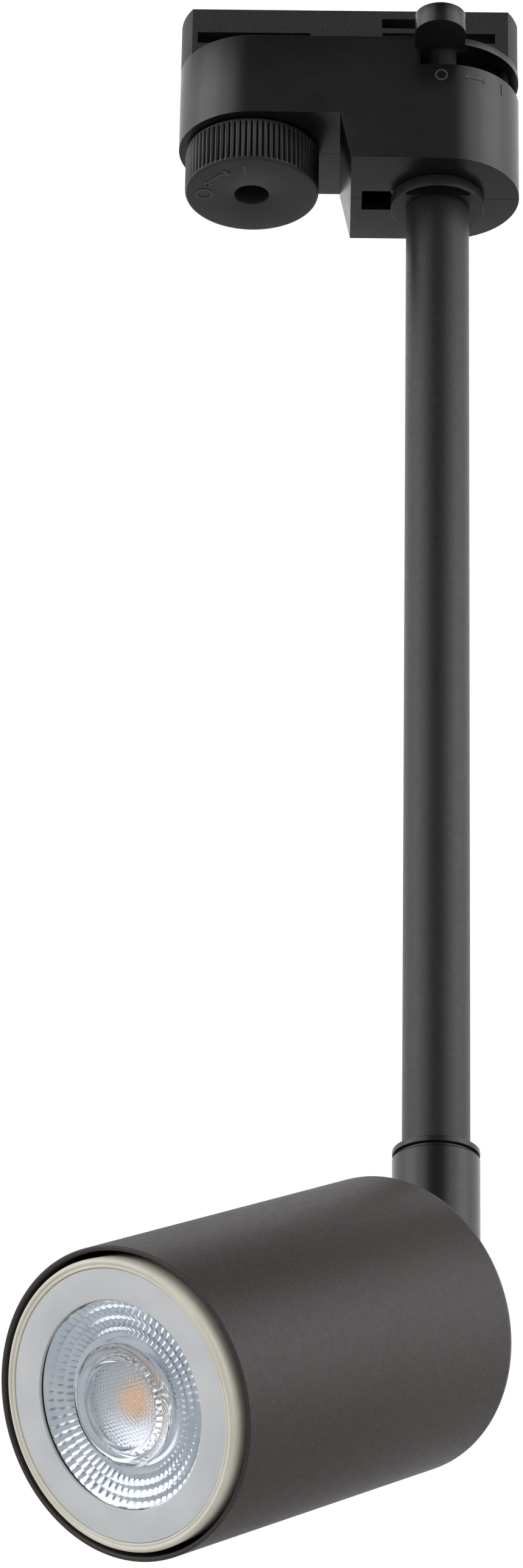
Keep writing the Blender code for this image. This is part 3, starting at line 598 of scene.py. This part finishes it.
def casing_cuts():
    """Windows in the bar, the lever's slot, and the bores and recess in the underside."""
    through = (-FAR, FAR)
    lock = (LOCK_X - WINDOW_REACH, LOCK_X + WINDOW_REACH)
    shallow_floor = (SHALLOW_Z - 1, SHALLOW_Z + CASE_WALL + 1)
    deep_floor = (DEEP_Z - 1, DEEP_Z + CASE_WALL + 1)
    cuts = [
        block(lock, through, LOCK_SLOT),
        block((-WINDOW_REACH, WINDOW_REACH), through, LOWER_WINDOW),
        block(UPPER_WINDOW_SPAN, (-FAR, 0.0), UPPER_WINDOW),
        block((-LEVER_SLOT_SIDE, FAR), (-FAR, LEVER_SLOT_SIDE), LEVER_SLOT),
        bar(SPINDLE_BORE, *shallow_floor, (LOCK_X, 0)),
        bar(SPINDLE_BORE, -23.0, -19.3),
        bar(BOSS_NECK + 0.15, *deep_floor),
        block(*RECESS, deep_floor),
        block(*EARTH_WINDOW, (-CASE_WALL - 1, 1)),
    ]
    for x, z in SCREW_PLACES:
        cuts.append(bar(SCREW_HEAD_RADIUS + 0.2, screw_seat(x), FAR, (x, z), "Y", 32))
        cuts.append(bar(1.3, -6.5, screw_seat(x) + 1, (x, z), "Y", 24))
    return cuts


def casing_hollow():
    """The inside of the casing, less the screw posts and the floor under the rotor."""
    hollow = casing_form(CASE_WALL, BAR_WALL)
    solids = [bar(POST_RADIUS, -FAR, FAR, spot, "Y", 32) for spot in SCREW_PLACES]
    solids.append(block((-7.5, FAR), (-FAR, FAR), (-22.0, -20.3)))
    combine(hollow, solids)
    bm = bmesh.new()
    bm.from_mesh(hollow.data)
    bpy.data.objects.remove(hollow)
    return bm


def casing():
    """The two shells, parted along the middle by a hairline."""
    for name, side in (("casing_front", -1), ("casing_rear", 1)):
        shell = round_edges(casing_form(0.0, 0.0), 0.45, 3)
        combine(shell, [casing_hollow()] + casing_cuts())
        near, far = sorted((side * HAIRLINE, side * FAR))
        combine(shell, [block((-FAR, FAR), (near, far), (-FAR, FAR))], "INTERSECT")
        round_edges(shell, 0.06, 1, 50.0)
        shell.name = name
        node = "adapter_front_shell" if side < 0 else "adapter_rear_shell"
        place(shell, "adapter", BODY_PLASTIC, [node])


def casing_screws():
    """Cross-head screws in the rear shell; local Z points out of the wall."""
    radius = SCREW_HEAD_RADIUS
    slot = (-1.3, 1.3)
    blade = (-0.28, 0.28)
    for number, (x, z) in enumerate(SCREW_PLACES, start=1):
        seat = screw_seat(x) + 0.2
        crown = [(0, 1.5), (1.1, 1.45), (1.8, 1.2), (radius, 0.6), (radius, 0.0), (0, 0.0)]
        screw = new_object(f"casing_screw_{number}", turned(soften(crown, 0.15, closed=False), 40))
        combine(screw, [block(slot, blade, (0.8, 3)), block(blade, slot, (0.8, 3))])
        combine(screw, [bar(1.1, -seat - 6.0, 0.3, steps=24)], "UNION")
        axes = Matrix.Translation(Vector((x, seat, z)) * MM) @ Matrix.Rotation(-QUARTER, 4, "X")
        place(screw, "adapter", STEEL, [f"shell_screw_{number}"], axes)


# ---------------------------------------------------------------- relief marks

def ribbon(path, width, low, high, at):
    """A raised stroke along a path; at(a, b, h) gives the point for the path's own two axes and a height."""
    points = [Vector(point) for point in path]
    left = []
    right = []
    for i, point in enumerate(points):
        ahead = points[min(i + 1, len(points) - 1)] - points[max(i - 1, 0)]
        side = Vector((-ahead.y, ahead.x)).normalized() * width / 2
        left.append(point + side)
        right.append(point - side)
    rings = []
    for a, b in zip(left, right):
        rings.append([at(a.x, a.y, low), at(b.x, b.y, low), at(b.x, b.y, high), at(a.x, a.y, high)])
    return skin(rings)


def off_sign(centre, size):
    """A plain ring."""
    return arc(centre, size / 2, 0, TURN, 28)


def on_sign(centre, size):
    """A plain upright bar."""
    x, y = centre
    return [(x, y - size / 2), (x, y + size / 2)]


def arrow_head(tip, direction, size):
    """Two short strokes that meet at the tip."""
    back = -Vector(direction).normalized() * size
    sides = [Matrix.Rotation(turn, 2) @ back for turn in (0.55, -0.55)]
    return [[tuple(Vector(tip)), tuple(Vector(tip) + side)] for side in sides]


def marks(name, body, axes, strokes, width, at):
    """One raised piece for each stroke."""
    for number, path in enumerate(strokes, start=1):
        stroke = new_object(f"{name}_{number}", ribbon(path, width, -0.05, 0.12, at))
        place(stroke, body, MARK_PLASTIC, axes=axes)


def polar(radius, degrees):
    return (radius * math.cos(math.radians(degrees)), radius * math.sin(math.radians(degrees)))


def knob_marks():
    """Off ring, curved double arrow and on bar on the knob's face."""
    middle = 9.6
    size = 3.2

    def on_face(x, y, height):
        return (x, y, KNOB_LOW - height)

    sweep = arc((0, 0), middle, math.radians(201), math.radians(243), 16)
    start = Vector(sweep[0])
    end = Vector(sweep[-1])
    strokes = [off_sign(polar(middle, 182), size), sweep, on_sign(polar(middle, 262), size)]
    strokes += arrow_head(end, end - Vector(sweep[-2]), 1.5)
    strokes += arrow_head(start, start - Vector(sweep[1]), 1.5)
    marks("knob_mark", "lock", LOCK, strokes, 0.42, on_face)


def casing_marks():
    """Off ring, double arrow and on bar under the lever; the row of marks follows the casing's round end."""
    bend = CASE_RIGHT - CASE_HALF

    def on_wall(along, z, height):
        if along <= bend:
            return (along, -CASE_HALF - height, z)
        angle = (along - bend) / CASE_HALF
        radius = CASE_HALF + height
        return (bend + radius * math.sin(angle), -radius * math.cos(angle), z)

    level = -20.1
    line = [(5.2 + 0.5 * i, level) for i in range(11)]
    size = 2.3
    strokes = [off_sign((0.4, level), size), line, on_sign((14.2, level), size)]
    strokes += arrow_head(line[-1], (1, 0), 1.1)
    strokes += arrow_head(line[0], (-1, 0), 1.1)
    marks("casing_mark", "adapter", ROW, strokes, 0.34, on_wall)


# ---------------------------------------------------------------- lock and lever

def knob():
    """Fine upright ribs between plain edges, a flat face with a screw bore, and a socket for the spindle."""
    points_per_rib = 10
    count = RIB_COUNT * points_per_rib

    def ring(radius, z, share=0.0):
        points = []
        for i in range(count):
            crest = abs(math.sin(math.pi * i / points_per_rib)) ** 0.9
            r = radius - share * RIB_DEPTH * (1 - crest)
            points.append((r * math.cos(TURN * i / count), r * math.sin(TURN * i / count), z))
        return points

    face = KNOB_LOW
    top = KNOB_TOP
    plain = KNOB_RADIUS - 0.05
    bore = KNOB_BORE
    shank = 1.6
    socket = SPINDLE_BORE
    seat = face + KNOB_BORE_DEPTH
    rings = [
        ring(shank, seat), ring(bore, seat), ring(bore, face + 0.25), ring(bore + 0.1, face + 0.07),
        ring(bore + 0.3, face), ring(plain - 0.75, face), ring(plain - 0.35, face + 0.09),
        ring(plain - 0.12, face + 0.3), ring(plain, face + 0.6), ring(KNOB_RADIUS, face + 0.95, 1.0),
        ring(KNOB_RADIUS, top - 0.9, 1.0), ring(plain, top - 0.65), ring(plain, top - 0.3),
        ring(plain - 0.3, top), ring(socket, top), ring(socket, top - 1.6), ring(shank, top - 1.6),
    ]
    piece = new_object("ribbed_knob", skin(rings, closed=True))
    place(piece, "lock", KNOB_PLASTIC, ["lock_knob"], LOCK, 40.0)


def knob_screw():
    """Slotted screw that lies at the bottom of the knob's bore."""
    top = KNOB_LOW + KNOB_BORE_DEPTH - 0.3
    low = top - 2.0
    head = [(0, low), (2.5, low), (2.9, low + 0.4), (2.9, top), (0, top)]
    screw = new_object("knob_screw", turned(soften(head, 0.15, closed=False), 40))
    combine(screw, [block((-2.0, 2.0), (-0.35, 0.35), (low - 1.7, low + 0.8))])
    combine(screw, [bar(1.3, top - 0.5, -23.0, steps=24)], "UNION")
    place(screw, "lock", BLACKENED, ["lock_knob_screw"], LOCK)


def lever():
    """A finger tab with a round end, on a neck that runs in to a ring round the rotor."""
    half = 5.05
    neck_half = 3.45
    tab_back = -18.6
    tab = arc((0, LEVER_TIP + half), half, math.pi, TURN, 40)
    right = [(neck_half + 1.6 * x, tab_back + 1.8 * y) for x, y in arc((0, 0), 1.0, 0, QUARTER, 12)]
    tab += right + [(-x, y) for x, y in reversed(right)]
    piece = new_object("finger_lever", prism(tab, LEVER_LOW, LEVER_TOP))
    neck = block((-neck_half, neck_half), (tab_back - 2, -7.0), (LEVER_LOW + 0.02, LEVER_TOP - 1.6))
    combine(piece, [neck, bar(9.0, LEVER_LOW + 0.04, LEVER_TOP - 2.1, steps=64)], "UNION")
    combine(piece, [bar(5.9, -30, 0, steps=64)])
    round_edges(piece, 0.3, 3, 35.0)
    place(piece, "contacts", LEVER_PLASTIC, ["contact_lever"])


# ---------------------------------------------------------------- rod, collar and sleeve

def boss():
    """The rod's boss under the casing, with an arched notch in its front."""
    shoulder = DEEP_Z - 0.06
    profile = [
        (ROD_BORE, BOSS_LOW), (BOSS_RADIUS, BOSS_LOW), (BOSS_RADIUS, shoulder), (BOSS_NECK, shoulder),
        (BOSS_NECK, BOSS_TOP), (ROD_BORE, BOSS_TOP),
    ]
    socket = new_object("rod_socket", turned(soften(profile, 0.25)))
    reach = math.asin(NOTCH_HALF / NOTCH_RADIUS)
    outline = arc((0, 0), NOTCH_RADIUS, -QUARTER - reach, -QUARTER + reach, 32)
    outline += [(NOTCH_HALF, NOTCH_BACK), (-NOTCH_HALF, NOTCH_BACK)]
    notch = prism(outline, BOSS_LOW - 1, BOSS_LOW + NOTCH_DEPTH)
    round_edges(combine(socket, [notch]), 0.05, 1, 60.0)
    place(socket, "adapter", SOCKET_COAT, ["rod_boss"])


def rod():
    profile = [(ROD_BORE, ROD_LOW), (ROD_RADIUS, ROD_LOW), (ROD_RADIUS, ROD_TOP), (ROD_BORE, ROD_TOP)]
    place(new_object("drop_rod", turned(soften(profile, 0.25))), "adapter", ROD_COAT, ["rod_tube"])


def collar():
    """The ring under the rod, its plug up into the rod and its stem down into the sleeve."""
    ring_top = ROD_LOW - 0.3
    ring_low = ring_top - 1.11
    rest = ring_top + 0.28
    foot = SLEEVE_TOP + 0.12
    neck = COLLAR_RADIUS - 0.75
    stem_bore, stem, plug = 2.6, 4.0, 4.9
    profile = [
        (stem_bore, STEM_LOW), (stem, STEM_LOW), (stem, foot), (neck, foot), (neck, ring_low),
        (COLLAR_RADIUS, ring_low), (COLLAR_RADIUS, ring_top), (ROD_RADIUS - 1.2, ring_top),
        (plug, rest), (plug, PLUG_TOP), (stem_bore, PLUG_TOP),
    ]
    place(new_object("collar", turned(soften(profile, 0.22))), "adapter", SLEEVE_COAT, ["collar_ring"])


def sleeve():
    """Fork sleeve, rounded below about the hinge; local X is the tilt axis."""
    middle = (0.0, PIVOT_Z)
    column = [(0, PIVOT_Z - 12), (COLLAR_RADIUS, PIVOT_Z - 12), (COLLAR_RADIUS, SLEEVE_TOP), (0, SLEEVE_TOP)]
    fork = new_object("fork_sleeve", turned(soften(column, 0.3, closed=False), 96))
    tip = COLLAR_RADIUS + 0.27
    side = arc(middle, tip, math.pi, TURN, 48) + [(tip, SLEEVE_TOP + 5), (-tip, SLEEVE_TOP + 5)]
    combine(fork, [prism(side, -20, 20, "X")], "INTERSECT")
    cuts = [
        bar(SLEEVE_BORE, -300, -240),
        bar(THROAT_RADIUS, -300, THROAT_TOP),
        block((-FORK_GAP, FORK_GAP), (-20, 20), (-300, FORK_TOP)),
        bar(HINGE_BORE, -20, 20, middle, "X", 32),
        bar(HINGE_RECESS, ARM_FACE, 20, middle, "X", 48),
        bar(HINGE_RECESS, -20, -ARM_FACE, middle, "X", 48),
    ]
    round_edges(combine(fork, cuts), 0.2, 2, 40.0)
    place(fork, "swivel", SLEEVE_COAT, ["swivel_sleeve"], SWIVEL, 35.0)


def hinge():
    """The tilt screw, its nut and the two friction washers; local Z is the tilt axis."""
    axes = SWIVEL @ Matrix.Translation(Vector((0, 0, PIVOT_Z * MM))) @ Matrix.Rotation(QUARTER, 4, "Y")
    profile = soften([(0, 7.5), (3.4, 7.5), (3.4, 5.45), (0, 5.45)], 0.35, closed=False)
    screw = new_object("hinge_screw", turned(profile, 48))
    combine(screw, [prism(polygon(6, 3.0), 6.3, 9)])
    combine(screw, [bar(2.0, -7.0, 5.6, steps=32)], "UNION")
    place(screw, "swivel", STEEL, ["tilt_screw"], axes)
    nut = new_object("hinge_nut", prism(polygon(6, 5.8), -7.4, -5.45))
    round_edges(combine(nut, [bar(2.1, -9, 0, steps=32)]), 0.2, 2)
    place(nut, "swivel", STEEL, ["tilt_nut"], axes)
    for name, low in (("friction_washer_left", -3.8), ("friction_washer_right", 3.3)):
        profile = [(HINGE_BORE, low), (5.5, low), (5.5, low + 0.5), (HINGE_BORE, low + 0.5)]
        washer = new_object(name + "_disc", turned(soften(profile, 0.12), 48))
        place(washer, "swivel", NYLON, [name], axes)


# ---------------------------------------------------------------- head

def can():
    """A deep can, open at the front, with a rounded rear edge and a bore for the tongue's stem."""
    wall = HEAD_REAR + CAN_REAR_WALL
    bore = HEAD_RADIUS - CAN_WALL
    stem_bore = 4.15
    fillet = arc((HEAD_RADIUS - CAN_FILLET, HEAD_REAR + CAN_FILLET), CAN_FILLET, -QUARTER, 0, 12)
    front = [(HEAD_RADIUS, HEAD_FRONT), (bore, HEAD_FRONT), (bore, wall + 1.0), (bore - 1.0, wall)]
    front = soften([fillet[-1]] + front, 0.3, closed=False)[1:]
    profile = [(stem_bore, HEAD_REAR)] + fillet + front + [(stem_bore, wall)]
    place(new_object("head_can", turned(profile, 192)), "head", HEAD_COAT, ["head_housing"], HEAD, 50.0)


def tongue():
    """The flat tongue between the fork's arms, its round foot, and the hollow stem through the can."""
    radius = TONGUE_RADIUS
    foot_back = HEAD_REAR - 2.8
    foot_face = HEAD_REAR - 0.06
    stem_end = HEAD_REAR + CAN_REAR_WALL + 5.6
    outline = [(radius, HEAD_REAR - 2.0), (-radius, HEAD_REAR - 2.0)] + arc((0, 0), radius, math.pi, TURN, 40)
    piece = new_object("hinge_tongue", prism(outline, -3.0, 3.0, "X"))
    foot = [(0, foot_back), (7.5, foot_back), (7.5, foot_face), (0, foot_face)]
    foot = turned(soften(foot, 0.5, closed=False), 64)
    combine(piece, [foot, bar(4.0, HEAD_REAR - 1.0, stem_end)], "UNION")
    cuts = [
        bar(HINGE_BORE, -20, 20, axis="X", steps=32),
        bar(2.2, 7.4, 40, steps=32),
        bar(1.9, 0, 20, (0, 9.0), "Y", 32),
    ]
    round_edges(combine(piece, cuts), 0.2, 2, 40.0)
    place(piece, "head", SLEEVE_COAT, ["head_tongue"], HEAD, 35.0)


# ---------------------------------------------------------------- lamp

def lamp_shell():
    """Cream cup: a rounded outer bead, a fine groove, an inner step for the optic and a tapering tail."""
    rim = LAMP_RIM
    tail = LAMP_TAIL
    front = [
        (rim - 0.9, -9.0), (rim - 0.3, -8.4), (rim, -0.75), (rim - 0.18, -0.3), (rim - 0.5, -0.08),
        (rim - 0.85, -0.1), (rim - 0.98, -0.28), (rim - 1.1, -0.32), (rim - 1.22, -0.26),
        (rim - 1.4, -0.18), (rim - 1.6, -0.24), (OPTIC_EDGE + 0.05, -0.4),
    ]
    inner = [(OPTIC_EDGE, -2.8), (21.4, -2.8), (21.4, -12.0), (13.6, tail + 13.2), (9.6, tail + 3.0)]
    outer = [(9.2, tail + 2.4), (9.2, tail), (11.0, tail), (11.6, tail + 0.6), (15.2, tail + 13.0)]
    shell = new_object("lamp_cup", turned(front + inner + outer, 192))
    place(shell, "lamp", SHELL_PLASTIC, ["lamp_shell"], LAMP, 60.0)


def frosted_ring():
    edge = OPTIC_EDGE - 0.02
    profile = [
        (edge, -0.38), (18.1, -0.5), (17.9, -0.75), (17.9, -1.1), (18.7, -1.2), (18.7, -2.6), (edge, -2.6),
    ]
    place(new_object("optic_frosted_rim", turned(soften(profile, 0.12), 192)), "lamp", FROSTED, axes=LAMP)


def honeycomb(x, y, pitch):
    """Height, from 0 to 1, of rounded bumps on a hexagonal grid."""
    nearest = pitch * pitch
    row_height = pitch * math.sqrt(3) / 2
    middle_row = round(y / row_height)
    for row in (middle_row - 1, middle_row, middle_row + 1):
        offset = 0.5 * (row % 2)
        column = round(x / pitch - offset)
        dx = x - (column + offset) * pitch
        dy = y - row * row_height
        nearest = min(nearest, dx * dx + dy * dy)
    return max(0.0, 1.0 - nearest / (0.33 * pitch * pitch))


def clear_window():
    """A thin clear ring over the facets."""
    profile = [(17.75, -0.8), (10.9, -1.1), (10.7, -1.3), (10.7, -1.6), (17.6, -1.25)]
    place(new_object("optic_window", turned(profile, 192)), "lamp", WINDOW, ["lamp_lens"], LAMP, 60.0)


def centre_lens():
    """Central lens: two raised rings with a groove between them and a dome of honeycomb bumps."""
    steps = 360
    back = [(6.6, -3.6), (7.6, -3.4), (9.4, -2.9), (10.4, -2.3)]
    face = [
        (10.6, -1.2), (10.4, -0.8), (9.9, -0.5), (9.4, -0.7), (9.1, -1.4), (8.8, -1.9),
        (8.5, -1.5), (8.2, -0.8), (7.8, -0.6), (7.45, -0.9), (LENS_RADIUS, -1.5),
    ]
    rings = [[(x, y, z) for x, y in circle(r, steps=steps)] for r, z in back + face]
    for i in range(59):
        r = LENS_RADIUS - 0.1 - 0.12 * i
        dome = -1.5 + 0.5 * (1 - (r / LENS_RADIUS) ** 2)
        rings.append([(x, y, dome + 0.26 * honeycomb(x, y, BUMP_PITCH)) for x, y in circle(r, steps=steps)])
    place(new_object("optic_centre", skin(rings)), "lamp", CLEAR, axes=LAMP, sharp=60.0)


def facet_mirror():
    """Silvered ring behind the window: stepped rows of pillow facets, then a plain funnel to the middle."""
    facets_round = 72
    facet_rows = 3
    fine = 5
    steps = facets_round * fine
    rings = []
    for i in range(facet_rows * fine + 1):
        share = i / (facet_rows * fine)
        down_the_row = (share * facet_rows) % 1.0
        bulge = abs(math.sin(math.pi * share * facet_rows))
        depth = -1.5 - share - 1.3 * down_the_row
        radius = FACETS_OUTER + (FACETS_INNER - FACETS_OUTER) * share
        ring = []
        for k, (x, y) in enumerate(circle(radius, steps=steps)):
            ring.append((x, y, depth + 0.36 * abs(math.sin(math.pi * k / fine)) * bulge))
        rings.append(ring)
    rings.append([(x, y, -4.8) for x, y in circle(FUNNEL_HOLE, steps=steps)])
    backing = [[(x, y, -5.4) for x, y, _ in rings[i]] for i in (-1, 0)]
    mirror = new_object("facet_mirror", skin(rings + backing, closed=True))
    place(mirror, "lamp", MIRROR, ["lamp_reflector"], LAMP, 20.0)


def light_engine():
    """The phosphor dome at the bottom of the funnel."""
    profile = [(0, -3.9), (1.8, -4.1), (2.8, -4.6), (3.0, -5.6), (0, -5.6)]
    place(new_object("phosphor_dome", turned(profile, 64)), "lamp", PHOSPHOR, ["led_emitter"], LAMP)


# ---------------------------------------------------------------- floor, camera and light

def floor():
    bm = bmesh.new()
    bmesh.ops.create_grid(bm, x_segments=8, y_segments=8, size=6.0)
    ground = new_object("floor", bm)
    ground.location.z = FLOOR_HEIGHT
    paint = mottled("floor_paint", rgb(204, 204, 203), rgb(212, 212, 211), 0.7, size=300.0, relief=0.1)
    ground.data.materials.append(paint)


def camera():
    yaw, pitch, roll = CAMERA_YAW, CAMERA_PITCH, CAMERA_ROLL
    ahead = Vector((math.sin(yaw) * math.cos(pitch), math.cos(yaw) * math.cos(pitch), math.sin(pitch)))
    level = Vector((math.cos(yaw), -math.sin(yaw), 0.0))
    above = level.cross(ahead)
    right = math.cos(roll) * level + math.sin(roll) * above
    upward = math.cos(roll) * above - math.sin(roll) * level
    data = bpy.data.cameras.new("camera")
    data.sensor_width = 36.0
    data.lens = CAMERA_LENS
    data.clip_end = 50.0
    eye = bpy.data.objects.new("camera", data)
    bpy.context.collection.objects.link(eye)
    eye.matrix_world = Matrix((right, upward, -ahead)).transposed().to_4x4()
    eye.location = CAMERA_PLACE
    bpy.context.scene.camera = eye


def softbox(name, location, target, size, power):
    """A rectangular area light that faces a target."""
    data = bpy.data.lights.new(name, "AREA")
    data.shape = "RECTANGLE"
    data.size, data.size_y = size
    data.energy = power
    lamp = bpy.data.objects.new(name, data)
    bpy.context.collection.objects.link(lamp)
    lamp.location = location
    lamp.rotation_mode = "QUATERNION"
    lamp.rotation_quaternion = (Vector(target) - Vector(location)).to_track_quat("-Z", "Y")


def tent():
    """World light like a white tent with a dark gap on the viewer's side; seen directly it is plain white."""
    world = bpy.data.worlds.new("tent")
    bpy.context.scene.world = world
    world.use_nodes = True
    n = Tree(world.node_tree)
    direction = n.add("ShaderNodeTexCoord").outputs["Generated"]
    x, y, z = n.add("ShaderNodeSeparateXYZ", {"Vector": direction}).outputs
    azimuth = n.maths("ARCTAN2", n.maths("ABSOLUTE", x, 0.0), n.maths("MULTIPLY", y, -1.0))
    gap = n.ramp(azimuth, math.radians(15), math.radians(42), 0.12, 1.0, "SMOOTHSTEP")
    rear = n.ramp(azimuth, math.radians(65), math.radians(140), 1.0, 0.6, "SMOOTHSTEP")
    low = n.ramp(z, -0.25, 0.1, 0.35, 1.0, "SMOOTHSTEP")
    high = n.ramp(z, 0.5, 0.8, 1.0, 0.12, "SMOOTHSTEP")
    light = n.maths("MULTIPLY", n.maths("MULTIPLY", gap, rear), n.maths("MULTIPLY", low, high))
    light = n.maths("MULTIPLY", light, TENT_STRENGTH)
    seen = n.add("ShaderNodeLightPath").outputs["Is Camera Ray"]
    strength = n.add("ShaderNodeMix", {0: seen, 2: light, 3: 1.0}).outputs[0]
    backdrop = n.tree.nodes["Background"]
    n.set(backdrop, "Color", (1.0, 1.0, 1.0, 1.0))
    n.set(backdrop, "Strength", strength)
    bpy.context.scene.view_settings.view_transform = "Standard"


def studio():
    middle = (0.0, 0.0, -0.17)
    softbox("left_box", (-1.3, -0.4, 0.45), middle, (0.8, 1.2), 2.5)
    softbox("right_box", (1.3, -0.4, 0.45), middle, (0.8, 1.2), 2.5)
    softbox("rim_box", (0.0, 0.7, 1.2), middle, (1.2, 0.5), 4.0)
    tent()


dress_nodes()
camera()
floor()
studio()
casing()
casing_screws()
casing_marks()
knob()
knob_screw()
knob_marks()
lever()
boss()
rod()
collar()
sleeve()
hinge()
can()
tongue()
lamp_shell()
frosted_ring()
clear_window()
centre_lens()
facet_mirror()
light_engine()
